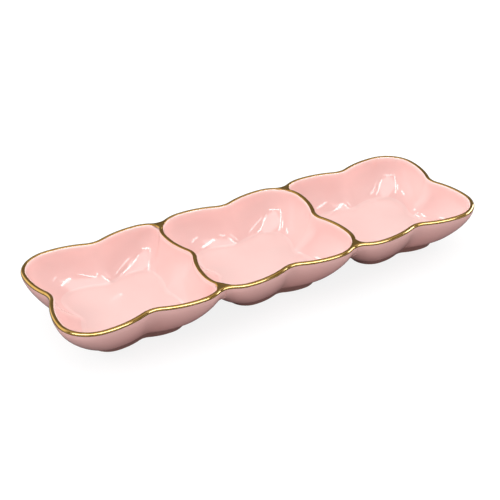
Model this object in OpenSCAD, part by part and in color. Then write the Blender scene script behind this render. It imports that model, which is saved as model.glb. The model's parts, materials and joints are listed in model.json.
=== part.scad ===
/* [Tray] */
// Height from the table to the top of the rim
tray_h = 34; // [28:0.5:42]
// How far neighbouring bowls run into each other at their notches
bowl_merge = 0.5; // [0:0.1:2]

/* [Bowl outline] */
// Width of a bowl across its lobes
bowl_w = 113; // [95:1:135]
// Depth of a notch below the line across the lobes
notch_depth = 6.25; // [5:0.25:8]
// Radius of the long arc beside a notch
side_r = 62.7; // [56:0.1:72]
// Radius of the round end of a lobe
lobe_r = 24; // [21:0.5:26]
// Radius of the rounding in a notch
notch_r = 13.7; // [11:0.1:16]

/* [Wall and floor] */
// Thickness of the wall at the rim
wall_t = 3.7; // [3:0.1:4.5]
// Thickness of the floor
floor_t = 5.5; // [4:0.5:8]
// Width across the lobes of the flat floor inside
floor_w = 62; // [54:0.5:66]
// Least thickness of an outer bowl behind the divider
web_t = 3; // [2:0.1:3.5]
// Width of the lip where an outer bowl runs into the divider
lip_w = 0.8; // [0.6:0.1:1.5]
// Size of the rounding in the corners beside the divider
corner_size = 6; // [3:0.5:9]

/* [Gilt rim] */
// Thickness of the gold film on the crest of the rim
gilt_t = 0.3; // [0.2:0.05:0.6]
// Depth of the gold below the crest on the inside
gilt_in = 1.2; // [0.9:0.1:2]
// Depth of the gold below the crest on the outside
gilt_out = 2; // [1.2:0.1:3]

/* [Foot ring] */
// Width of the foot across its lobes
foot_w = 66; // [56:0.5:76]
// How far the body stands out past its foot
foot_step = 3; // [1.5:0.25:6]
// Height of the foot
foot_h = 4; // [2.5:0.5:6]
// Thickness of the foot ring
foot_t = 5; // [3.5:0.5:7]
// Bevel on the outer edge of the foot's face
foot_bevel = 0.8; // [0.4:0.1:1.2]
// Draft of the foot's outer side
foot_draft = 0.5; // [0.2:0.1:1]

/* [Fit] */
// Hairline between neighbouring bowls where they meet
seam_gap = 0.3; // [0.2:0.05:0.5]

/* [Hidden] */

glaze_pink = [0.96, 0.74, 0.71];
lustre_gold = [0.80, 0.62, 0.22];

// How sharply the outside leans in and the inside rounds into the floor
wall_curve = 1.65;
floor_curve = 1.7;

// Steps of the mesh: along an eighth of the outline, down the walls and over the rim
notch_steps = 2;
side_steps = 4;
lobe_steps = 4;
wall_steps = 6;
rim_steps = 4;
halvings = 22;
least_turn = 0.4;

// The bowls stand as far apart as their notches lie, less what they run into each other
notch_w = bowl_w - 2 * notch_depth;
bowl_pitch = notch_w - bowl_merge;

floor_z = foot_h + floor_t;
base_w = foot_w + 2 * foot_step;
gilt_edge_z = tray_h - gilt_out;
base_scale = base_w / bowl_w;
foot_scale = foot_w / bowl_w;
floor_scale = floor_w / (bowl_w - 2 * wall_t);

// Centres of the three tangent arcs of an eighth of the outline. The first number is the
// distance across the axis of the notch and the second is the distance along it.
side_along = bowl_w / 2 - side_r;
notch_along = notch_w / 2 + notch_r;
side_across = sqrt(pow(side_r + notch_r, 2) - pow(notch_along - side_along, 2));
lobe_spread = (side_across - side_along) / 2;
lobe_along = (side_across + side_along) / 2 + sqrt(pow(side_r - lobe_r, 2) / 2 - pow(lobe_spread, 2));
notch_centre = [0, notch_along];
side_centre = [side_across, side_along];
lobe_centre = [lobe_along, lobe_along];

// A turn is an angle about a bowl's centre, from a notch, and each outline is a distance
// from that centre for every turn. The outline is the same in every eighth of a turn.
function eighth(turn) = let (part = (turn % 90 + 90) % 90) min(part, 90 - part);
function turn_to(p) = atan2(p.x, p.y);
function reach_arc(turn, centre, r, far) =
    let (along = centre * [sin(turn), cos(turn)])
    along + far * sqrt(r * r - centre * centre + along * along);
function notch_end(out) =
    turn_to(notch_centre + (side_centre - notch_centre) * (notch_r - out) / (side_r + notch_r));
function side_end(out) =
    turn_to(side_centre + (lobe_centre - side_centre) * (side_r + out) / (side_r - lobe_r));

// Distance to the outline that lies the given amount outside the bowl's own outside
function outline(turn, out) =
    let (t = eighth(turn))
    t < notch_end(out) ? reach_arc(t, notch_centre, notch_r - out, -1)
    : t < side_end(out) ? reach_arc(t, side_centre, side_r + out, 1)
    : reach_arc(t, lobe_centre, lobe_r + out, 1);

// Distance from an outer bowl's centre to the outside of the middle bowl, found by halving.
// Turn zero faces the middle bowl. Rays that miss it get the whole pitch.
function clear_of_middle(turn, r, scale) =
    let (x = bowl_pitch - r * cos(turn), y = r * sin(turn))
    norm([x, y]) - scale * outline(atan2(y, x), 0) - seam_gap;
function narrow_seam(turn, scale, near, far, left) =
    let (mid = (near + far) / 2)
    left == 0 ? near
    : clear_of_middle(turn, mid, scale) > 0 ? narrow_seam(turn, scale, mid, far, left - 1)
    : narrow_seam(turn, scale, near, mid, left - 1);
function seam(turn, scale) =
    let (far = bowl_pitch * cos(turn))
    far <= 0 || clear_of_middle(turn, far, scale) > 0 ? bowl_pitch
    : narrow_seam(turn, scale, 0, far, halvings);

// Turn at which an outer bowl's own outline runs into the middle bowl
function meeting(out, low, high, left) =
    let (mid = (low + high) / 2)
    left == 0 ? mid
    : outline(mid, out) > seam(mid, 1) ? meeting(out, mid, high, left - 1)
    : meeting(out, low, mid, left - 1);
inner_meeting = meeting(-wall_t, side_end(0), 90, halvings);
outer_meeting = meeting(0, side_end(0), 90, halvings);

// Turns of the points on a ring: through the arcs of an eighth, then all round
eighth_turns = concat(
    [for (i = [0:notch_steps]) notch_end(0) * i / notch_steps],
    [for (i = [1:side_steps]) notch_end(0) + (side_end(0) - notch_end(0)) * i / side_steps],
    [for (i = [1:lobe_steps]) side_end(0) + (45 - side_end(0)) * i / lobe_steps]
);
eighth_count = len(eighth_turns) - 1;
quarter_turns = concat(eighth_turns, [for (i = [eighth_count - 1:-1:1]) 90 - eighth_turns[i]]);
middle_turns = [for (quarter = [0:3], turn = quarter_turns) 90 * quarter + turn];

// An outer bowl's ring takes the middle bowl's own points where it lies against the divider
divider_turns = [
    for (turn = eighth_turns)
        let (seen = atan2(outline(turn, 0) * sin(turn), bowl_pitch - outline(turn, 0) * cos(turn)))
        if (seen < inner_meeting - least_turn) seen
];
outer_half_turns = concat(
    divider_turns,
    [inner_meeting, max(outer_meeting, inner_meeting + least_turn)],
    [for (turn = middle_turns) if (turn > outer_meeting + least_turn && turn <= 180) turn]
);
outer_turns = concat(
    outer_half_turns,
    [for (i = [len(outer_half_turns) - 2:-1:1]) 360 - outer_half_turns[i]]
);

// A plan lists, for each turn, the inner and outer edge of the wall and the share of the
// full crest that stands there. The crest dies away in the thin lip beside the divider.
function soft_min(a, b, size) = min(a, b) - pow(max(size - abs(a - b), 0), 2) / (4 * size);
function faces_divider(turn) = min(turn, 360 - turn) < side_end(0);
function lip_share(width) = min(max((width - lip_w) / lip_w, 0), 1);
function outer_edges(turn) =
    let (
        stop = seam(turn, 1),
        facing = faces_divider(turn),
        own = soft_min(outline(turn, -wall_t), stop, corner_size),
        inner = facing ? stop - lip_w : min(own, stop - lip_w),
        outer = facing ? stop : min(outline(turn, 0), stop)
    )
    [turn, inner, outer, lip_share(outer - inner)];
middle_plan = [for (turn = middle_turns) [turn, outline(turn, -wall_t), outline(turn, 0), 1]];
outer_plan = [for (turn = outer_turns) outer_edges(turn)];

function polar(turn, r, z) = [r * cos(turn), r * sin(turn), z];
function inner_edge_z(rise_share) = gilt_edge_z + (gilt_out - gilt_in) * rise_share;

// The inside wall falls from the rim and rounds into the floor as the fall goes from 0 to 90
function floor_reach(turn) = outline(turn, -wall_t) * floor_scale;
function inner_reach(turn, rim, fall) =
    floor_reach(turn) + (rim - floor_reach(turn)) * pow(max(cos(fall), 0), floor_curve);
function inner_ring(plan, fall) = [
    for (p = plan)
        let (z = floor_z + (inner_edge_z(p[3]) - floor_z) * (1 - sin(fall)))
        polar(p[0], inner_reach(p[0], p[1], fall), z)
];

// The outside is the rim's outline, drawn in more and more towards the foot
function outer_z(depth_share) = gilt_edge_z - (gilt_edge_z - foot_h) * depth_share;
function lean_scale(depth_share) = 1 - (1 - base_scale) * pow(depth_share, wall_curve);
function inner_reach_at(turn, rim, z) =
    let (sunk = (gilt_edge_z - z) / (gilt_edge_z - floor_z))
    inner_reach(turn, rim, asin(min(sunk, 1)));
function outer_reach(p, depth_share, beside_middle) =
    let (
        scale = lean_scale(depth_share),
        own = outline(p[0], 0) * scale,
        backed = inner_reach_at(p[0], p[1], outer_z(depth_share)) + web_t
    )
    !beside_middle ? own
    : min(seam(p[0], scale), faces_divider(p[0]) ? max(own, backed) : own);
function outer_ring(plan, depth_share, beside_middle) = [
    for (p = plan) polar(p[0], outer_reach(p, depth_share, beside_middle), outer_z(depth_share))
];

// A point on the rounded crest, from the inner edge at 0 to the outer edge at 180. The inset
// lowers it under the gold, and fades out at both edges.
function crest_point(p, swing, inset) =
    let (
        middle = (p[1] + p[2]) / 2,
        half = (p[2] - p[1]) / 2,
        edge_z = swing < 90 ? inner_edge_z(p[3]) : gilt_edge_z,
        crest_z = gilt_edge_z + gilt_out * p[3] - inset * p[3]
    )
    polar(p[0], middle - half * cos(swing), edge_z + (crest_z - edge_z) * sin(swing));

rim_swings = [for (i = [0:rim_steps]) 180 * i / rim_steps];
function under_gilt(plan) = [
    for (i = [1:rim_steps - 1]) [for (p = plan) crest_point(p, rim_swings[i], gilt_t)]
];
function gilt_section(p) = concat(
    [for (i = [rim_steps:-1:0]) crest_point(p, rim_swings[i], 0)],
    [for (i = [1:rim_steps - 1]) crest_point(p, rim_swings[i], gilt_t)]
);

// A skin over a stack of rings, closed by flat ends or joined back to its first ring. The
// faces of the first half split the other way, so a mirrored form gets mirrored faces.
module skin(rings, looped = false) {
    count = len(rings);
    sides = len(rings[0]);
    bands = [
        for (i = [0:count - (looped ? 1 : 2)], j = [0:sides - 1])
            let (
                a = i * sides + j,
                b = i * sides + (j + 1) % sides,
                c = (i + 1) % count * sides + (j + 1) % sides,
                d = (i + 1) % count * sides + j
            )
            each (j < sides / 2 ? [[a, b, d], [b, c, d]] : [[a, b, c], [a, c, d]])
    ];
    first_end = [for (j = [sides - 1:-1:0]) j];
    last_end = [for (j = [0:sides - 1]) (count - 1) * sides + j];
    polyhedron(
        points = [for (ring = rings) each ring],
        faces = looped ? bands : concat(bands, [first_end, last_end]),
        convexity = 8
    );
}

// The ceramic shell of a bowl: up the inside, over the rim under the gold and down the outside
module bowl_shell(plan, beside_middle) {
    skin(concat(
        [for (i = [wall_steps:-1:0]) inner_ring(plan, 90 * i / wall_steps)],
        under_gilt(plan),
        [for (i = [0:wall_steps]) outer_ring(plan, i / wall_steps, beside_middle)]
    ));
}

// The foot: a low ring of the same outline, with its face left flat to stand on
module foot_shell() {
    section = [
        [-foot_t, foot_h],
        [-foot_t, 0],
        [-foot_draft - foot_bevel, 0],
        [-foot_draft, foot_bevel],
        [0, foot_h]
    ];
    skin([
        for (turn = middle_turns)
            [for (s = section) polar(turn, outline(turn, 0) * foot_scale + s.x, s.y)]
    ], looped = true);
}

// The left bowl lies as it is drawn, with turn zero along X, and the right one is turned about
module at_left() {
    translate([-bowl_pitch, 0, 0])
        children();
}
module at_right() {
    translate([bowl_pitch, 0, 0])
        rotate([0, 0, 180])
            children();
}

module outer_gilt() {
    skin([for (p = outer_plan) if (min(p[0], 360 - p[0]) >= inner_meeting) gilt_section(p)]);
}

module left_bowl() {
    color(glaze_pink)
        at_left()
            bowl_shell(outer_plan, true);
}
module middle_bowl() {
    color(glaze_pink)
        bowl_shell(middle_plan, false);
}
module right_bowl() {
    color(glaze_pink)
        at_right()
            bowl_shell(outer_plan, true);
}
module left_gilt_rim() {
    color(lustre_gold)
        at_left()
            outer_gilt();
}
module middle_gilt_rim() {
    color(lustre_gold)
        skin([for (p = middle_plan) gilt_section(p)], looped = true);
}
module right_gilt_rim() {
    color(lustre_gold)
        at_right()
            outer_gilt();
}
module left_foot_ring() {
    color(glaze_pink)
        at_left()
            foot_shell();
}
module middle_foot_ring() {
    color(glaze_pink)
        foot_shell();
}
module right_foot_ring() {
    color(glaze_pink)
        at_right()
            foot_shell();
}

left_bowl();
middle_bowl();
right_bowl();
left_gilt_rim();
middle_gilt_rim();
right_gilt_rim();
left_foot_ring();
middle_foot_ring();
right_foot_ring();
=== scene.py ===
"""A relish tray of three lobed bowls in pink glazed ware, with a gilt rim and three low feet.

The tray lies along X, and the bowl nearest the camera is the left one, on the -X side.
"""

import json
import math

import bpy
import numpy as np
from mathutils import Matrix, Vector

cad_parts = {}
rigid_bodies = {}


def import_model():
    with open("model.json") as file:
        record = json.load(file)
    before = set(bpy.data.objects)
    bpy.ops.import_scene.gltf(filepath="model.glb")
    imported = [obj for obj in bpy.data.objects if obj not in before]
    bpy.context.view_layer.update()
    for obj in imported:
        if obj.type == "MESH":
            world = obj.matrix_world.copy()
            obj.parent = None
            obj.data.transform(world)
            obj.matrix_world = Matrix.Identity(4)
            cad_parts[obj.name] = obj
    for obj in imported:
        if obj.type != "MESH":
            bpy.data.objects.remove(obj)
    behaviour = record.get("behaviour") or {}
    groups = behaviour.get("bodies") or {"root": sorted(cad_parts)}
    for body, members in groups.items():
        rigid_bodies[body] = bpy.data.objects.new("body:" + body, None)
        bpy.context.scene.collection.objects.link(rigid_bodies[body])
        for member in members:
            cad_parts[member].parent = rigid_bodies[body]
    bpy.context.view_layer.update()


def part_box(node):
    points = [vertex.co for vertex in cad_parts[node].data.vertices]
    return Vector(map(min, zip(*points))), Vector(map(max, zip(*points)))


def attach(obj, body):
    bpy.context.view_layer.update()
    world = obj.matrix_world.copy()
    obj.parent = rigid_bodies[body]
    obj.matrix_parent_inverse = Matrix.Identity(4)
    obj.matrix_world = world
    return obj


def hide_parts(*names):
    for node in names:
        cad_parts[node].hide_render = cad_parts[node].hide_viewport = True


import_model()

# Middle bowl
# The whole tray is one slip-cast body in white clay, glazed pink and fired once more. The middle
# bowl is the only one that is whole, and its wall is the divider on both sides. Each eighth of
# the outline is three tangent arcs: a notch, the long arc beside it and the end of a lobe.
mm = 0.001
rim_low, rim_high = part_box("middle_gilt_rim")
left_foot_low, left_foot_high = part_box("left_foot_ring")
tray_h = rim_high.z
bowl_w = rim_high.y - rim_low.y
pitch = -(left_foot_low.x + left_foot_high.x) / 2
foot_h = left_foot_high.z
notch_w = 100.5 * mm
side_r = 62.7 * mm
lobe_r = 24 * mm
notch_r = 13.7 * mm
wall_t = 3.7 * mm
crest_out = 1.4 * mm  # from the outline in to the highest line of the rim
drop_in = 1.4 * mm  # from the crest down to the top of the inside wall
drop_out = 1.8 * mm  # and down to the gold's edge outside
under_gold = 0.1 * mm  # from the top of the gold down to the clay
shoulder_in = 0.08 * mm  # from the gold's edge outside in to the clay
web_dip = 0.3 * mm  # how much lower the clay is under a web, at most
web_dip_slope = 0.4
floor_z = 9.5 * mm
floor_share = 0.587  # width of the flat floor, as a share of the bowl's
floor_power = 1.7  # how slowly the inside wall steepens
outside_top_z = 32 * mm
base_share = 0.637  # width to which the outside leans in
lean_power = 1.65
foot_share = 0.585
neck_h = 1.5 * mm
neck_share = 0.597
groove_least_r = 1.5 * mm
groove_grown_r = 9 * mm  # how much the groove's rounding grows up to the rim
groove_from = 0.84  # where it starts to grow, as a share of the outline at the rim

side_along = bowl_w / 2 - side_r
notch_along = notch_w / 2 + notch_r
side_across = math.sqrt((side_r + notch_r) ** 2 - (notch_along - side_along) ** 2)
lobe_spread = (side_across - side_along) / 2
lobe_along = (side_across + side_along) / 2
lobe_along += math.sqrt((side_r - lobe_r) ** 2 / 2 - lobe_spread**2)
notch_centre = np.array([0, notch_along])
side_centre = np.array([side_across, side_along])
lobe_centre = np.array([lobe_along, lobe_along])


def outline(turn, out=0.0):
    """Distance from a bowl's centre to its outline at each turn, or to a line outside that."""
    turn = np.mod(turn, math.pi / 2)
    turn = np.minimum(turn, math.pi / 2 - turn)

    def to_arc(centre, radius, far):
        along = centre[0] * np.sin(turn) + centre[1] * np.cos(turn)
        return along + far * np.sqrt(np.maximum(radius**2 - centre @ centre + along**2, 0))

    notch_tip = notch_centre + (side_centre - notch_centre) * (notch_r - out) / (side_r + notch_r)
    side_tip = side_centre + (lobe_centre - side_centre) * (side_r + out) / (side_r - lobe_r)
    return np.where(
        turn < math.atan2(*notch_tip),
        to_arc(notch_centre, notch_r - out, -1),
        np.where(
            turn < math.atan2(*side_tip),
            to_arc(side_centre, side_r + out, 1),
            to_arc(lobe_centre, lobe_r + out, 1),
        ),
    )


def groove(turn, scale):
    """Distance to the clay that rounds the groove between two bowls, or 0 beside the groove.

    The turn starts at the neighbour. The two bowls mirror each other about the plane between.
    """
    lobe = scale * lobe_centre
    grown = max(scale - groove_from, 0) / (1 - groove_from)
    fillet = groove_grown_r * grown + groove_least_r
    reach = scale * lobe_r + fillet
    rise = reach**2 - (pitch / 2 - lobe[0]) ** 2
    if rise <= 0:
        return np.zeros_like(turn)
    centre = np.array([pitch / 2, lobe[1] + math.sqrt(rise)])
    crossing = lobe[1] + math.sqrt(max((scale * lobe_r) ** 2 - (pitch / 2 - lobe[0]) ** 2, 0))
    tip = centre + (lobe - centre) * fillet / reach
    along = centre[0] * np.cos(turn) + centre[1] * np.sin(turn)
    arc = along - np.sqrt(np.maximum(fillet**2 - centre @ centre + along**2, 0))
    first = math.atan2(crossing, pitch / 2)
    bottom = math.atan2(centre[1] - fillet, pitch / 2)
    last = math.atan2(tip[1], tip[0])
    on_arc = np.where((turn > bottom) & (turn < last), arc, 0)
    return np.where((turn > first) & (turn <= bottom), pitch / 2 / np.cos(turn), on_arc)


def ring(turns, reach, height):
    """Points at these distances from a bowl's centre, all at one height or each at its own."""
    return np.stack([reach * np.cos(turns), reach * np.sin(turns), reach * 0 + height], 1)


def linear(code):
    """Turns an sRGB hex colour into the linear values that the nodes take."""
    parts = [int(code[i : i + 2], 16) / 255 for i in (1, 3, 5)]
    return [c / 12.92 if c <= 0.04045 else ((c + 0.055) / 1.055) ** 2.4 for c in parts] + [1.0]


def add_node(tree, kind, inputs=None, stops=(), **settings):
    """Adds a node with its settings, and a ramp's stops, each a place and a hex colour.

    An input goes by its name, or by its number where several have the same. It is a value, or it
    is linked to a socket or to a node's first output.
    """
    node = tree.nodes.new(kind)
    for name, value in settings.items():
        setattr(node, name, value)
    for _ in stops[2:]:
        node.color_ramp.elements.new(1.0)
    for k, (position, code) in enumerate(stops):
        node.color_ramp.elements[k].position = position
        node.color_ramp.elements[k].color = linear(code)
    for name, value in (inputs or {}).items():
        if isinstance(value, bpy.types.Node):
            value = value.outputs[0]
        if isinstance(value, bpy.types.NodeSocket):
            tree.links.new(value, node.inputs[name])
        else:
            node.inputs[name].default_value = value
    return node


def loft_tree():
    """Skins a stack of guide lines, which the mesh holds one after another, N stations each.

    The points after them are the section, one for each row of the skin. Such a point says how far
    through the stack its row lies in plan (X) and in height (Y), and how deep the colour is (Z):
    from the glaze's thickness and, down the outside, from painted shade.
    """
    tree = bpy.data.node_groups.new("lobed_loft", "GeometryNodeTree")
    kinds = {
        "Geometry": "Geometry",
        "Stations": "Int",
        "Closing": "Int",
        "Section Start": "Int",
        "Rows": "Int",
        "Weld": "Float",
        "Material": "Material",
    }
    for label, kind in kinds.items():
        tree.interface.new_socket(label, in_out="INPUT", socket_type="NodeSocket" + kind)
    tree.interface.new_socket("Geometry", in_out="OUTPUT", socket_type="NodeSocketGeometry")
    given = add_node(tree, "NodeGroupInput").outputs

    def point_of(index):
        position = add_node(tree, "GeometryNodeInputPosition")
        found = add_node(
            tree,
            "GeometryNodeSampleIndex",
            {"Geometry": given["Geometry"], "Value": position, "Index": index},
            data_type="FLOAT_VECTOR",
        )
        return found.outputs["Value"]

    row_length = add_node(
        tree, "FunctionNodeIntegerMath", {0: given["Stations"], 1: given["Closing"]}
    )
    grid = add_node(
        tree, "GeometryNodeMeshGrid", {"Vertices X": given["Rows"], "Vertices Y": row_length}
    )
    index = add_node(tree, "GeometryNodeInputIndex")
    row = add_node(
        tree, "FunctionNodeIntegerMath", {0: index, 1: row_length}, operation="DIVIDE_FLOOR"
    )
    along = add_node(
        tree, "FunctionNodeIntegerMath", {0: index, 1: row_length}, operation="MODULO"
    )
    station = add_node(
        tree, "FunctionNodeIntegerMath", {0: along, 1: given["Stations"]}, operation="MODULO"
    )
    section_point = add_node(
        tree, "FunctionNodeIntegerMath", {0: given["Section Start"], 1: row}
    )
    level = add_node(tree, "ShaderNodeSeparateXYZ", {0: point_of(section_point)}).outputs

    def between_guides(level_in_stack):
        below = add_node(tree, "ShaderNodeMath", {0: level_in_stack}, operation="FLOOR")
        share = add_node(tree, "ShaderNodeMath", {0: level_in_stack}, operation="FRACT")
        first = add_node(
            tree,
            "FunctionNodeIntegerMath",
            {0: below, 1: given["Stations"], 2: station},
            operation="MULTIPLY_ADD",
        )
        second = add_node(tree, "FunctionNodeIntegerMath", {0: first, 1: given["Stations"]})
        mixed = add_node(
            tree,
            "ShaderNodeMix",
            {0: share, 4: point_of(first), 5: point_of(second)},
            data_type="VECTOR",
        )
        return add_node(tree, "ShaderNodeSeparateXYZ", {0: mixed.outputs[1]}).outputs

    plan = between_guides(level["X"])
    height = between_guides(level["Y"])
    point = add_node(
        tree, "ShaderNodeCombineXYZ", {"X": plan["X"], "Y": plan["Y"], "Z": height["Z"]}
    )
    skin = add_node(tree, "GeometryNodeSetPosition", {"Geometry": grid, "Position": point})
    coated = add_node(
        tree,
        "GeometryNodeStoreNamedAttribute",
        {"Geometry": skin, "Name": "glaze_depth_and_painted_shade", "Value": level["Z"]},
        data_type="FLOAT",
        domain="POINT",
    )
    joined = add_node(
        tree, "GeometryNodeMergeByDistance", {"Geometry": coated, "Distance": given["Weld"]}
    )
    smooth = add_node(tree, "GeometryNodeSetShadeSmooth", {"Geometry": joined})
    real = add_node(tree, "GeometryNodeRealizeInstances", {"Geometry": smooth})
    finished = add_node(
        tree, "GeometryNodeSetMaterial", {"Geometry": real, "Material": given["Material"]}
    )
    add_node(tree, "NodeGroupOutput", {"Geometry": finished})
    return tree


lobed_loft = loft_tree()


def loft(name, guides, section, material, closing=1, film=0.0):
    """Makes a piece from its guide lines and section. Film gives a thin sheet its thickness.

    Closing is 1 where each line runs back to its start, and 0 where it ends on its last station.
    """
    stations = len(guides[0])
    stack = bpy.data.meshes.new(name + "_guides")
    points = np.concatenate([*guides, np.array(section)])
    stack.from_pydata(points.tolist(), [], [])
    piece = bpy.data.objects.new(name, stack)
    bpy.context.scene.collection.objects.link(piece)
    skin = piece.modifiers.new("loft", "NODES")
    skin.node_group = lobed_loft
    values = {
        "Stations": stations,
        "Closing": closing,
        "Section Start": stations * len(guides),
        "Rows": len(section),
        "Weld": 0.004 * mm,
        "Material": material,
    }
    for socket in lobed_loft.interface.items_tree:
        if socket.name in values:
            skin[socket.identifier] = values[socket.name]
    if film:
        thick = piece.modifiers.new("film", "SOLIDIFY")
        thick.thickness = film
        thick.offset = -1
    graph = bpy.context.evaluated_depsgraph_get()
    solid = bpy.data.meshes.new_from_object(
        piece.evaluated_get(graph), preserve_all_data_layers=True, depsgraph=graph
    )
    piece.modifiers.clear()
    piece.data = solid
    solid.name = name
    return piece


def new_material(name):
    """An empty node material, its tree and its object coordinates."""
    material = bpy.data.materials.new(name)
    material.use_nodes = True
    tree = material.node_tree
    tree.nodes.clear()
    return material, tree, add_node(tree, "ShaderNodeTexCoord").outputs["Object"]


# Glazed earthenware: an opaque pink glaze over white clay. The eye sees an even, soft pink under
# a thin wet-looking gloss, paler where the glaze has run thin on edges. Down the outside and under
# the bowl the colour is painted darker, which is painted shade.
cloud_size = 26 * mm
cloud_depth = 0.12  # how much thicker the glaze seems in a cloud
ripple_size = 9 * mm
ripple_h = 0.4 * mm
pink_glaze, tree, place = new_material("pink_glazed_earthenware")
depth_and_shade = add_node(tree, "ShaderNodeAttribute", attribute_name="glaze_depth_and_painted_shade").outputs["Fac"]
clouds = add_node(
    tree, "ShaderNodeTexNoise", {"Vector": place, "Scale": 1 / cloud_size, "Detail": 3}
)
clouding = add_node(
    tree, "ShaderNodeMath", {0: clouds, 1: cloud_depth, 2: depth_and_shade}, operation="MULTIPLY_ADD"
)
# Its deepest stops paint shade on the lower outside and the underside of a bowl.
colour = add_node(
    tree,
    "ShaderNodeValToRGB",
    {"Fac": clouding},
    stops=[
        (0.08, "#F3DDD9"),
        (0.3, "#E6C7C2"),
        (0.5, "#E2B6B1"),
        (0.8, "#E6A8A3"),
        (1.0, "#B27F79"),
    ],
)
ripple = add_node(
    tree, "ShaderNodeTexNoise", {"Vector": place, "Scale": 1 / ripple_size, "Detail": 1}
)
bump = add_node(
    tree, "ShaderNodeBump", {"Strength": 0.025, "Distance": ripple_h, "Height": ripple}
)
shine = add_node(
    tree,
    "ShaderNodeBsdfPrincipled",
    {"Base Color": colour, "Roughness": 0.06, "IOR": 1.5, "Normal": bump},
)
add_node(tree, "ShaderNodeOutputMaterial", {"Surface": shine})

# The stations round a bowl, in degrees, are closest where the grooves and webs are.
quarter = np.concatenate(
    [np.arange(0, 41, 0.75), np.arange(41, 53, 0.25), np.arange(53, 90, 0.75)]
)
half_turn = np.concatenate([quarter, 180 - quarter[::-1]])[:-1]
stations = np.radians(np.concatenate([half_turn, half_turn + 180]))
to_neighbour = np.arccos(np.abs(np.cos(stations)))

outside_steps = 10
outside_levels = 7  # steps that keep to the lean, before the neck takes over


def bowl_guides(outer_at, inner, inner_height, crest_height):
    """The guide lines of a bowl, from the middle of its floor over its rim to its underside.

    Each is a reach from the bowl's centre and a height. Outer_at gives the outside's reach where
    the outline has shrunk by a scale.
    """
    floor_edge = outline(stations, -wall_t) * floor_share * bowl_w / (bowl_w - 2 * wall_t)
    middle = floor_edge * 0
    outer = outer_at(1.0)
    ridge = np.maximum(outer - crest_out, (inner + outer) / 2)
    lines = [(middle, floor_z), (floor_edge, floor_z), (inner, inner_height)]
    lines += [(ridge, crest_height), (outer - shoulder_in, tray_h - drop_out)]
    for level in range(1, outside_levels + 1):
        fall = level / outside_steps
        scale = 1 - (1 - base_share) * fall**lean_power
        lines.append((outer_at(scale), outside_top_z + (foot_h - outside_top_z) * fall))
    lines.append((outer_at(neck_share), foot_h + neck_h))
    return lines + [(outer_at(foot_share), foot_h), (middle, foot_h)]


flat_share = 0.95  # the part of the floor that is left flat
edge_onto_floor = 0.08  # the rounded edge of the floor, as shares of the way to the crest
edge_up_wall = 0.12
edge_squeeze = 0.59
edge_curve = 1.057  # as steep as the inside wall is where the two meet
wall_from = 16.7  # the inside wall's swing there, in degrees
neck_bend = (0.548, 0.942)  # what the neck's curve bends towards, of its way in and down
neck_round = 0.3
thin_glaze = 0.3  # on the floor and the crest, where 1 is the darkest painted shade, under the bowl
wall_glaze = 0.42


def steps(count):
    """The shares of a way at the end of each of its equal steps."""
    return [k / count for k in range(1, count + 1)]


def bowl_section():
    """The rows of a bowl: floor, its rounded edge, inside wall, crest, outside wall, underside.

    The glaze is a little thinner on the floor and the crest than on the inside wall. Outside the
    colour darkens on the way down, from half to whole at the foot and under the bowl: painted
    shade.
    """
    rows = [(flat_share * k / 10, flat_share * k / 10, thin_glaze) for k in range(10)]
    for t in [0, *steps(6)]:
        up = (edge_onto_floor + edge_up_wall) * t
        beyond = up - edge_onto_floor
        onto_wall = 1 + max(beyond, edge_squeeze * beyond)
        rows.append((onto_wall, 1 + edge_curve * up**2, thin_glaze + 0.02))
    for t in steps(35):
        swing = math.radians(wall_from + (90 - wall_from) * t)
        glaze = min(wall_glaze, thin_glaze + 1.4 * (1 - t))
        rows.append((1 + math.sin(swing) ** floor_power, 2 - math.cos(swing), glaze))
    for t in steps(6):
        swing = math.radians(90 * t)
        rows.append((3 - math.cos(swing), 2 + math.sin(swing), thin_glaze))
    for t in steps(6):
        swing = math.radians(90 * t)
        rows.append((3 + math.sin(swing), 4 - math.cos(swing), thin_glaze + 0.1 * t))
    # Down the outside the value rises, which paints shade that darkens towards the foot.
    rows += [(4 + outside_levels * t, 4 + outside_levels * t, 0.5 + 0.2 * t) for t in steps(21)]
    last = 4 + outside_levels
    for t in steps(12):
        inwards, downwards = (last + bend * 2 * t * (1 - t) + t * t for bend in neck_bend)
        rows.append((inwards, downwards, 0.7 + 0.2 * t))
    for t in steps(4):
        swing = math.radians(90 * t)
        down = 1 + neck_round * (1 - math.cos(swing))
        rows.append((last + 1 + math.sin(swing), last + down, 1.0))
    rows.append((last + 2, last + 2, 1.0))
    rows += [(last + 2 + t, last + 2, 1.0) for t in steps(4)]
    return rows


def middle_outside(scale):
    """How far out the middle bowl's outside is where its outline has shrunk by this scale."""
    return np.maximum(outline(stations) * scale, groove(to_neighbour, scale))


def under_web(turn):
    """How much lower the clay's crest is where it fills a groove, to lie under the gold's web."""
    filled = np.maximum(groove(turn, 1.0) - outline(stations), 0)
    return np.minimum(web_dip_slope * filled, web_dip)


middle_lines = bowl_guides(
    middle_outside,
    outline(stations, -wall_t),
    tray_h - drop_in,
    tray_h - under_gold - under_web(to_neighbour),
)
middle_bowl = loft(
    "middle_bowl_body",
    [ring(stations, reach, height) for reach, height in middle_lines],
    bowl_section(),
    pink_glaze,
)
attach(middle_bowl, "root")
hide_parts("middle_bowl")

# Left and right bowls
# They are cast in one with the middle bowl and end in its wall. A small rounding eases the
# corner on both sides: the groove outside, and the inside corner where the lobe meets the wall.
corner_r = 8 * mm
inside_lap = 0.06 * mm  # how far an outer bowl's clay goes on into the middle bowl's wall
outside_lap = 0.3 * mm
widest_seam = math.radians(60)  # past this turn, the outside is all the outer bowl's own
own_lobe = lobe_centre
next_lobe = np.array([pitch - lobe_along, lobe_along])

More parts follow.
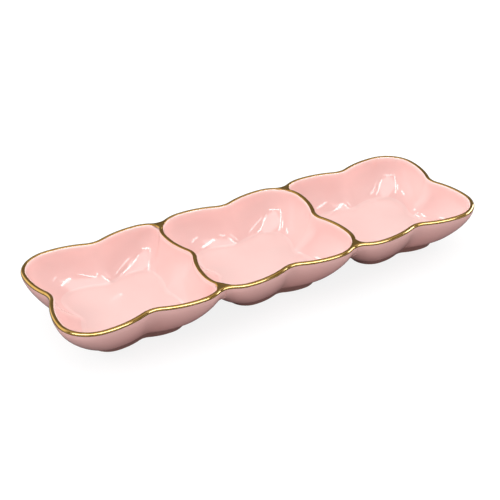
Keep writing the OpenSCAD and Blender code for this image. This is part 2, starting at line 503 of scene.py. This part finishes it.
# The inside rounding touches the inside of the bowl's own lobe and the outside of the next one.
spacing = np.linalg.norm(next_lobe - own_lobe)
from_own = lobe_r - wall_t - corner_r
from_next = lobe_r + corner_r
corner_x = (from_own**2 - from_next**2 + spacing**2) / (2 * spacing)
corner_centre = own_lobe + np.array([corner_x, math.sqrt(from_own**2 - corner_x**2)])
corner_own = own_lobe + (corner_centre - own_lobe) * (lobe_r - wall_t) / from_own
corner_next = next_lobe + (corner_centre - next_lobe) * lobe_r / from_next
corner_first = math.atan2(corner_next[1], corner_next[0])
corner_last = math.atan2(corner_own[1], corner_own[0])
to_middle = np.abs(np.arctan2(np.sin(stations), np.cos(stations)))


def seam(turn, scale):
    """Distance along each turn to the middle bowl's outline, shrunk by this scale, by halving."""
    near = np.zeros_like(turn)
    far = np.full_like(turn, pitch)
    for _ in range(40):
        reach = (near + far) / 2
        x = reach * np.cos(turn) - pitch
        y = reach * np.sin(turn)
        outside = np.hypot(x, y) > outline(np.arctan2(y, x)) * scale
        near = np.where(outside, reach, near)
        far = np.where(outside, far, reach)
    return near


def side_bowl_outside(scale):
    """How far out an outer bowl's outside is, from its own centre, with turn 0 to the middle."""
    own = outline(stations) * scale
    wall = np.where(to_middle < widest_seam, seam(to_middle, scale) + outside_lap, own)
    return np.maximum(np.minimum(own, wall), groove(to_middle, scale))


def ease(value, start, end):
    """How far a value has come from start to end, as a share that is eased in and out."""
    share = np.clip((value - start) / (end - start), 0, 1)
    return share * share * (3 - 2 * share)


corner_along = corner_centre[0] * np.cos(to_middle) + corner_centre[1] * np.sin(to_middle)
corner_room = corner_r**2 - corner_centre @ corner_centre + corner_along**2
corner_arc = corner_along + np.sqrt(np.maximum(corner_room, 0))
side_inside = np.where(
    to_middle < corner_first,
    seam(np.minimum(to_middle, corner_first), 1.0) + inside_lap,
    np.where(to_middle < corner_last, corner_arc, outline(stations, -wall_t)),
)
seam_z = tray_h - drop_out - under_gold
own_rim = ease(to_middle, corner_first, corner_last)
side_lines = bowl_guides(
    side_bowl_outside,
    side_inside,
    seam_z + (tray_h - drop_in - seam_z) * own_rim,
    seam_z + (tray_h - under_gold - seam_z) * own_rim - under_web(to_middle),
)
for name, side in (("left", -1), ("right", 1)):
    turned = math.pi / 2 * (1 + side)
    away = np.array([side * pitch, 0, 0])
    bowl = loft(
        name + "_bowl_body",
        [ring(stations + turned, reach, height) + away for reach, height in side_lines],
        bowl_section(),
        pink_glaze,
    )
    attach(bowl, "root")
    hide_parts(name + "_bowl")

# Foot rings
# A low ring under each bowl, cast in one with it. Its sides are glazed, and the land that it
# stands on is wiped bare before firing, so the pale clay shows there.
foot_t = 5 * mm
foot_draft = 0.1  # how far each side leans, as a share of the thickness
land_bevel = 0.12  # the rounding beside the land, and under the bowl, as such shares
top_bevel = 0.04

# Glazed and bare earthenware: the same glaze, painted dark on the foot as shade, and clay that it
# was wiped off. The eye sees a deep, shiny pink-brown, which is painted shade, that ends in a wavy
# line on a chalky, matt cream.
grain_size = 1.2 * mm
wave_h = 0.35 * mm
bare_below = 0.12 * mm
glazed_above = 0.3 * mm
shaded_foot_glaze, tree, place = new_material("pink_glaze_painted_shade_and_bare_clay_land")
above_table = add_node(tree, "ShaderNodeSeparateXYZ", {0: place}).outputs["Z"]
grain = add_node(
    tree, "ShaderNodeTexNoise", {"Vector": place, "Scale": 1 / grain_size, "Detail": 4}
)
wiped_line = add_node(
    tree, "ShaderNodeMath", {0: grain, 1: -wave_h, 2: above_table}, operation="MULTIPLY_ADD"
)
covered = add_node(
    tree,
    "ShaderNodeMapRange",
    {"Value": wiped_line, "From Min": bare_below, "From Max": glazed_above},
    interpolation_type="SMOOTHSTEP",
)
clay = add_node(
    tree, "ShaderNodeValToRGB", {"Fac": grain}, stops=[(0.25, "#D8CBBE"), (0.7, "#EDE4DA")]
)
# The glazed side's dark pink-brown is painted shade, for the foot under the bowl's overhang.
glaze = add_node(
    tree, "ShaderNodeValToRGB", {"Fac": grain}, stops=[(0.2, "#7A5853"), (0.8, "#845F5A")]
)
mixed = add_node(tree, "ShaderNodeMix", {0: covered, 6: clay, 7: glaze}, data_type="RGBA")
gloss = add_node(
    tree, "ShaderNodeMapRange", {"Value": covered, "To Min": 0.75, "To Max": 0.1}
)
shine = add_node(
    tree,
    "ShaderNodeBsdfPrincipled",
    {"Base Color": mixed.outputs[2], "Roughness": gloss, "IOR": 1.5},
)
add_node(tree, "ShaderNodeOutputMaterial", {"Surface": shine})

# The section's four rounded corners, from the outer one on the table to the one above it.
foot_turns = np.radians(np.arange(0, 360, 1.0))
foot_section = []
for corner_u, corner_v, first in ((0, 0, 180), (1, 0, 270), (1, 1, 0), (0, 1, 90)):
    bevel_u = land_bevel if corner_v == 0 else top_bevel
    bevel_v = bevel_u * foot_t / foot_h
    for t in [0, *steps(5)]:
        swing = math.radians(first + 90 * t)
        across = corner_u + bevel_u * (1 - 2 * corner_u + math.cos(swing))
        up = corner_v + bevel_v * (1 - 2 * corner_v + math.sin(swing))
        lean = foot_draft * (1 - up) * (1 - 2 * across)
        foot_section.append((across + lean, up, 1))
foot_section.append(foot_section[0])

outer_line = ring(foot_turns, outline(foot_turns) * foot_share, 0)
tangent = np.roll(outer_line, -1, 0) - np.roll(outer_line, 1, 0)
tangent /= np.linalg.norm(tangent, axis=1)[:, None]
inward = np.stack([-tangent[:, 1], tangent[:, 0], tangent[:, 0] * 0], 1)
inner_line = outer_line + inward * foot_t + np.array([0, 0, foot_h])
for name, side in (("middle", 0), ("left", -1), ("right", 1)):
    away = np.array([side * pitch, 0, 0])
    foot = loft(
        name + "_foot", [outer_line + away, inner_line + away], foot_section, shaded_foot_glaze
    )
    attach(foot, "root")
    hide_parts(name + "_foot_ring")

# Gilt rims
# Bright gold lustre, brushed over the whole rim and a little way down the outside and fired once
# more at low heat. At each corner between two bowls it covers a small web with hollow sides.
gold_in = 2.9 * mm  # from the outline in to the gold's inner edge
gold_drop = 0.42 * mm  # from the crest down to that edge
divider_out = 0.4 * mm  # how much less far out the gold goes on a divider
divider_in = 0.35 * mm  # how much further in it goes there
divider_drop = 0.22 * mm  # and how much lower
film_t = 0.16 * mm

# Fired gold lustre: a film of gold on the glaze, laid on with a brush. The eye sees a bright warm
# metal that mirrors the room softly, a little duller and browner where the brush left it thin.
brush_size = 14 * mm
gold_lustre, tree, place = new_material("fired_gold_lustre")
brushed = add_node(
    tree, "ShaderNodeTexNoise", {"Vector": place, "Scale": 1 / brush_size, "Detail": 2}
)
colour = add_node(
    tree,
    "ShaderNodeValToRGB",
    {"Fac": brushed},
    stops=[(0.3, "#D2A556"), (0.5, "#DDB164"), (0.7, "#C99B4C")],
)
sheen = add_node(
    tree,
    "ShaderNodeMapRange",
    {"Value": brushed, "From Min": 0.3, "From Max": 0.7, "To Min": 0.1, "To Max": 0.16},
)
shine = add_node(
    tree,
    "ShaderNodeBsdfPrincipled",
    {"Base Color": colour, "Metallic": 1.0, "Roughness": sheen},
)
add_node(tree, "ShaderNodeOutputMaterial", {"Surface": shine})

inner_swing = math.radians(58)
rim_section = []
for t in [0, *steps(8)]:
    swing = inner_swing * (1 - t)
    share = math.sin(swing) / math.sin(inner_swing)
    fall = (1 - math.cos(swing)) / (1 - math.cos(inner_swing))
    rim_section.append((1 - share, 1 - fall, 0))
rim_section += [(1 + t, 1 + t, 0) for t in steps(4)]
for t in steps(8):
    swing = math.radians(90 * t)
    rim_section.append((2 + math.sin(swing), 3 - math.cos(swing), 0))


def rim_lines(turns, bare=0.0):
    """The inner edge, the ridge twice and the outer edge of the gold on a bowl's own rim.

    Bare is 1 where the rim is a divider, whose sides are both left bare of gold.
    """
    ridge = ring(turns, outline(turns, -crest_out), tray_h)
    inner_reach = outline(turns, -gold_in) - divider_in * bare
    inner = ring(turns, inner_reach, tray_h - gold_drop - divider_drop * bare)
    drop = drop_out + (gold_drop - drop_out) * bare
    outer = ring(turns, outline(turns) - divider_out * bare, tray_h - drop)
    return [inner, ridge, ridge, outer]


web_r = groove_grown_r + groove_least_r
web_rise = math.sqrt((lobe_r + web_r) ** 2 - (pitch / 2 - lobe_along) ** 2)
web_centre = np.array([pitch / 2, lobe_along + web_rise])
web_next = next_lobe + (web_centre - next_lobe) * lobe_r / (lobe_r + web_r)
web_inside = math.atan2(corner_next[1], pitch - corner_next[0])
web_outside = math.atan2(web_next[1], pitch - web_next[0])
middle_rim = loft(
    "middle_gilt",
    rim_lines(stations, ease(to_neighbour, web_outside, web_inside)),
    rim_section,
    gold_lustre,
    film=film_t,
)
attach(middle_rim, "root")
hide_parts("middle_gilt_rim")

web_steps = 14
web_hollow = 0.35 * mm  # how much lower the web's inner edge is halfway round the corner
web_sink = 0.04 * mm  # how far its ridge ends under the top of the middle bowl's gold
web_gap = 0.004  # turn from the web's first line to the next one on the own rim


def bearing(start, end):
    """The direction from one point to another."""
    return math.atan2(end[1] - start[1], end[0] - start[0])


def point_at(centre, radius, aim):
    """The point of a circle that lies in this direction."""
    return centre + radius * np.array([math.cos(aim), math.sin(aim)])


def corner_path(centre, radius, lobe_edge, share):
    """The gold's edge round a corner at this share of its way, and the direction to the ridge.

    Share 0 is where the web starts, on the own rim, and share 1 is on the middle bowl's rim. The
    own edge lies on its lobe's circle up to the rounding.
    """
    web_start = bearing(own_lobe, corner_centre)
    round_start = bearing(own_lobe, centre)
    hollow = lobe_edge < np.linalg.norm(centre - own_lobe)
    first = round_start + (math.pi if hollow else 0)
    sweep = bearing(centre, next_lobe) - first
    sweep = math.atan2(math.sin(sweep), math.cos(sweep))
    own_length = abs(web_start - round_start) * lobe_edge
    length = own_length + abs(sweep) * radius
    if share * length < own_length:
        aim = web_start + (round_start - web_start) * share * length / own_length
        inward = -1 if hollow else 1
        return point_at(own_lobe, lobe_edge, aim), point_at(np.zeros(2), inward, aim)
    aim = first + sweep * (share * length - own_length) / (length - own_length)
    return point_at(centre, radius, aim), point_at(np.zeros(2), 1, aim)


def web_lines():
    """The same four lines across the web, from the middle bowl's ridge back to the own rim."""
    own_side = gold_in - crest_out
    far_side = crest_out - divider_out
    lines = [[], [], [], []]
    for k in range(web_steps):
        share = 1 - k / web_steps
        inner, to_ridge = corner_path(
            corner_centre, corner_r + wall_t - gold_in, lobe_r - gold_in, share
        )
        outer, back_to_ridge = corner_path(web_centre, web_r, lobe_r, share)
        first_ridge = inner + to_ridge * (own_side + (far_side - own_side) * share)
        second_ridge = outer + back_to_ridge * crest_out
        inner_z = tray_h - gold_drop - web_hollow * math.sin(math.pi * share)
        ridge_z = tray_h - web_sink * share
        lines[0].append([*inner, inner_z])
        lines[1].append([*first_ridge, ridge_z])
        lines[2].append([*second_ridge, ridge_z])
        lines[3].append([*outer, tray_h - drop_out])
    return [np.array(line) for line in lines]


web_start = point_at(own_lobe, lobe_r - crest_out, bearing(own_lobe, corner_centre))
after_web = math.atan2(web_start[1], web_start[0]) + web_gap
side_turns = stations[(stations > after_web) & (stations < 2 * math.pi - after_web)]
mirror = np.array([1, -1, 1])
side_rim_lines = [
    np.concatenate([web, own, web[::-1] * mirror])
    for web, own in zip(web_lines(), rim_lines(side_turns))
]
for name, side in (("left", -1), ("right", 1)):
    turn_over = np.array([-side, -side, 1])
    away = np.array([side * pitch, 0, 0])
    rim = loft(
        name + "_gilt",
        [line * turn_over + away for line in side_rim_lines],
        rim_section,
        gold_lustre,
        closing=0,
        film=film_t,
    )
    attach(rim, "root")
    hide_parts(name + "_gilt_rim")

# Studio
# A white floor under a soft sky, with a white wall at the back left and soft boxes all round. A
# frame of thin lamp bars, kept off the gold, shows in the glaze as bright lines. Two soft boxes,
# kept off the glaze, light the gold alone, in a cooler white that turns its highlight cream.
floor_half = 12.0
floor_mesh = bpy.data.meshes.new("white_floor")
floor_corners = [
    (-floor_half, -floor_half, 0),
    (floor_half, -floor_half, 0),
    (floor_half, floor_half, 0),
    (-floor_half, floor_half, 0),
]
floor_mesh.from_pydata(floor_corners, [], [(0, 1, 2, 3)])
floor = bpy.data.objects.new("white_floor", floor_mesh)
bpy.context.scene.collection.objects.link(floor)

# White paper: smooth, matt and lit through. The eye sees plain white with a soft shadow round the
# tray, partly painted, as the paper's own glow is weaker there. The glaze and gold mirror it dark
# close to the tray, a painted shade in its glow, and pale further out. Both go by how far a spot
# is from the line through the bowls' centres.
shadow_near, shadow_far = 40 * mm, 130 * mm
mirror_near, mirror_far = 150 * mm, 450 * mm
white_paper, tree, place = new_material("white_paper")
spot = add_node(tree, "ShaderNodeSeparateXYZ", {0: place}).outputs
beside = add_node(tree, "ShaderNodeClamp", {"Value": spot["X"], "Min": -pitch, "Max": pitch})
past_end = add_node(tree, "ShaderNodeMath", {0: spot["X"], 1: beside}, operation="SUBTRACT")
off_axis = add_node(tree, "ShaderNodeCombineXYZ", {"X": past_end, "Y": spot["Y"]})
away_by = add_node(tree, "ShaderNodeVectorMath", {0: off_axis}, operation="LENGTH")
seen = add_node(tree, "ShaderNodeLightPath").outputs
mirrored = add_node(
    tree,
    "ShaderNodeMath",
    {0: seen["Is Glossy Ray"], 1: seen["Is Transmission Ray"]},
    operation="MAXIMUM",
)
# Near the tray the glow is weaker: a painted shadow in view, and painted dark where it is
# mirrored.
mirror_glow_painted_dark_near = add_node(
    tree,
    "ShaderNodeMapRange",
    {
        "Value": away_by.outputs["Value"],
        "From Min": mirror_near,
        "From Max": mirror_far,
        "To Max": 0.7,
    },
    interpolation_type="SMOOTHSTEP",
)
view_glow_with_painted_shadow = add_node(
    tree,
    "ShaderNodeMapRange",
    {
        "Value": away_by.outputs["Value"],
        "From Min": shadow_near,
        "From Max": shadow_far,
        "To Min": 0.84,
    },
    interpolation_type="SMOOTHSTEP",
)
glow_in_mirror = add_node(
    tree, "ShaderNodeMath", {0: mirrored, 1: mirror_glow_painted_dark_near}, operation="MULTIPLY"
)
glow = add_node(
    tree,
    "ShaderNodeMath",
    {0: seen["Is Camera Ray"], 1: view_glow_with_painted_shadow, 2: glow_in_mirror},
    operation="MULTIPLY_ADD",
)
paper = add_node(
    tree,
    "ShaderNodeBsdfPrincipled",
    {
        "Base Color": linear("#6E6E6E"),
        "Roughness": 0.9,
        "Emission Color": (1, 1, 1, 1),
        "Emission Strength": glow,
    },
)
add_node(tree, "ShaderNodeOutputMaterial", {"Surface": paper})
floor_mesh.materials.append(white_paper)

# The sky is dim near the floor and bright overhead, and the wall is a bright patch low in it.
world = bpy.data.worlds.new("light_box")
bpy.context.scene.world = world
world.use_nodes = True
tree = world.node_tree
tree.nodes.clear()
direction = add_node(tree, "ShaderNodeTexCoord").outputs["Generated"]
upward = add_node(tree, "ShaderNodeSeparateXYZ", {0: direction}).outputs["Z"]
overhead = add_node(
    tree,
    "ShaderNodeMapRange",
    {"Value": upward, "From Min": 0.5, "From Max": 0.95, "To Min": 0.25, "To Max": 0.95},
    interpolation_type="SMOOTHSTEP",
)
wall_way = (-0.64, 0.72, 0.27)
to_wall = add_node(
    tree, "ShaderNodeVectorMath", {0: direction, 1: wall_way}, operation="DOT_PRODUCT"
)
white_wall = add_node(
    tree,
    "ShaderNodeMapRange",
    {"Value": to_wall.outputs["Value"], "From Min": 0.78, "From Max": 0.95, "To Max": 1.3},
    interpolation_type="SMOOTHSTEP",
)
sky_light = add_node(tree, "ShaderNodeMath", {0: overhead, 1: white_wall})
sky = add_node(tree, "ShaderNodeBackground", {"Strength": sky_light})
add_node(tree, "ShaderNodeOutputWorld", {"Surface": sky})

# The pieces that each kind of lamp is kept to.
glazed = bpy.data.collections.new("glazed")
gilded = bpy.data.collections.new("gilded")
for piece in bpy.context.scene.collection.objects:
    if piece.name.endswith(("_body", "_foot")):
        glazed.objects.link(piece)
    if piece.name.endswith("_gilt"):
        gilded.objects.link(piece)


def hang_lamp(name, turn_and_place, width, height, brightness):
    """Hangs a rectangular lamp that the camera doesn't see. Brightness 1 mirrors as white."""
    lamp = bpy.data.lights.new(name, "AREA")
    lamp.shape = "RECTANGLE"
    lamp.size = width
    lamp.size_y = height
    lamp.energy = brightness * math.pi * width * height
    hung = bpy.data.objects.new(name, lamp)
    bpy.context.scene.collection.objects.link(hung)
    hung.matrix_world = turn_and_place
    hung.visible_camera = False
    return hung


# The frame of bars hangs turned about the tray, and its lengths are in millimetres.
bar_turn = math.radians(-39.5)
bar_x = Vector((math.cos(bar_turn), math.sin(bar_turn), 0)) * mm
bar_y = Vector((-math.sin(bar_turn), math.cos(bar_turn), 0)) * mm
straight_up = Vector((0, 0, 1))
bars = [
    ((-640, -750), (400, -750), 1500, 105, 12),
    ((-655, -760), (-655, 515), 1500, 85, 12),
    ((480, -370), (480, 505), 1500, 76, 13),
    ((880, -205), (880, 520), 1500, 80, 8),
    ((-1330, 670), (-1560, 1080), 1500, 90, 10),
    ((-830, 60), (-855, 440), 1500, 80, 12),
    ((-258, 375), (-245, 387), 300, 6, 9),
]  # start, end, height above the table, width, brightness
for k, (*ends, bar_z, bar_width, brightness) in enumerate(bars):
    start, end = (bar_x * x + bar_y * y + straight_up * bar_z * mm for x, y in ends)
    along = (end - start).normalized()
    turn = Matrix([along, straight_up.cross(along), straight_up]).transposed().to_4x4()
    bar = hang_lamp(
        f"lamp_bar_{k + 1}",
        Matrix.Translation((start + end) / 2) @ turn,
        (end - start).length,
        bar_width * mm,
        brightness,
    )
    bar.visible_diffuse = False
    bar.light_linking.receiver_collection = glazed

gold_brightness = 7
gold_light = (0.8, 0.96, 1.6)
soft_boxes = [
    ("left", -900, 0, 420, 700, 700, 0.56),
    ("right", 900, 0, 420, 700, 700, 0.6),
    ("front", 0, -900, 170, 1200, 300, 0.66),
    ("back", 0, 900, 420, 700, 700, 0.42),
    ("over_glaze", 0, 0, 1200, 800, 800, 0.44),
    ("over_gold", -300, -620, 690, 2600, 340, None),
    ("beside_gold", 1000, -60, 330, 900, 340, None),
]  # place, width, height, and how bright it would make white paper at the tray
for name, x, y, z, wide, high, light in soft_boxes:
    stand = Vector((x, y, z)) * mm
    if light:
        brightness = light * math.pi * stand.length_squared / (wide * high * mm * mm)
    else:
        brightness = gold_brightness
    box = hang_lamp(
        "softbox_" + name,
        Matrix.Translation(stand) @ stand.to_track_quat("Z", "Y").to_matrix().to_4x4(),
        wide * mm,
        high * mm,
        brightness,
    )
    if name == "over_glaze":
        box.light_linking.receiver_collection = glazed
    elif name.endswith("gold"):
        box.data.color = gold_light
        box.light_linking.receiver_collection = gilded
    else:
        box.visible_glossy = False

# The camera's place was fitted to the rim in the photo, and it aims at a point on the rim's level.
azimuth = math.radians(-27.459)
elevation = math.radians(30.384)
roll = math.radians(-2.543)
camera_away = 713.1 * mm
aimed_at = Vector((-14.588, -18.258, 34)) * mm
back = Vector(
    (
        math.sin(azimuth) * math.cos(elevation),
        -math.cos(azimuth) * math.cos(elevation),
        math.sin(elevation),
    )
)
right = (-back).cross(straight_up).normalized()
up = right.cross(-back)
rolled_right = right * math.cos(roll) + up * math.sin(roll)
rolled_up = up * math.cos(roll) - right * math.sin(roll)
camera_turn = Matrix([rolled_right, rolled_up, back]).transposed().to_4x4()
cam_data = bpy.data.cameras.new("camera")
cam_data.sensor_width = 36
cam_data.lens = 76.87
cam_data.clip_start = 0.01
cam = bpy.data.objects.new("camera", cam_data)
bpy.context.scene.collection.objects.link(cam)
cam.matrix_world = Matrix.Translation(aimed_at + back * camera_away) @ camera_turn
bpy.context.scene.camera = cam
bpy.context.scene.view_settings.view_transform = "Standard"
